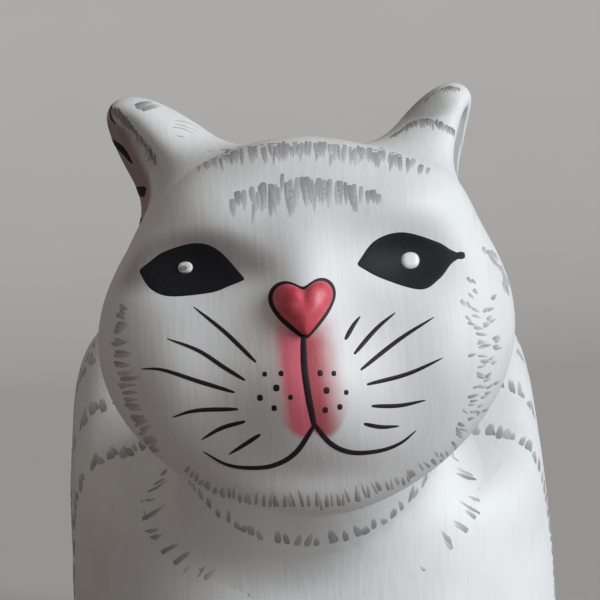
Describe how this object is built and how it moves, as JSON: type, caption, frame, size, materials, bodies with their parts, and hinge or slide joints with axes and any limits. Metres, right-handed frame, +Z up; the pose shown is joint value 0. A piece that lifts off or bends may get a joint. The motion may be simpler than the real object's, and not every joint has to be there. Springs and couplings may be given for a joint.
{
  "type": "carved wooden cat figure",
  "caption": "Carved and painted wooden cat lying with its head raised, with pegged ears, legs and nose, and a push-fit tail that pulls off",
  "frame": {"origin": "middle of the flat underside that the figure rests on", "axes": "+Z up; the cat faces -Y, so its head is at -Y and its tail at +Y; its own left side is at +X"},
  "size_m": [0.1306, 0.3227, 0.145],
  "materials": {
    "painted_body": "matte white paint with grey brushed fur bands",
    "painted_head": "matte white paint with brushed fur, eyes, whiskers and mouth",
    "painted_ear": "matte white paint with grey brushed fur, pinkish brown inside",
    "painted_nose": "satin rose red paint",
    "painted_tail": "matte white paint with grey brushed rings",
    "bare_dowel": "sanded bare wood"
  },
  "bodies": {
    "carving": {"torso": "painted_body", "head": "painted_head", "neck_dowel": "bare_dowel", "ear_left": "painted_ear", "ear_right": "painted_ear", "ear_pegs": "bare_dowel", "nose": "painted_nose", "foreleg_left": "painted_body", "foreleg_right": "painted_body", "foreleg_pegs": "bare_dowel", "hind_paw_left": "painted_body", "hind_paw_right": "painted_body", "hind_paw_pegs": "bare_dowel"},
    "tail": {"tail": "painted_tail", "tail_peg": "bare_dowel"}
  },
  "joints": [
    {"name": "tail_pull", "type": "slide", "parent": "carving", "child": "tail", "axis": [0, 0.9408, 0.3389], "range_m": [0, 0.024]}
  ]
}
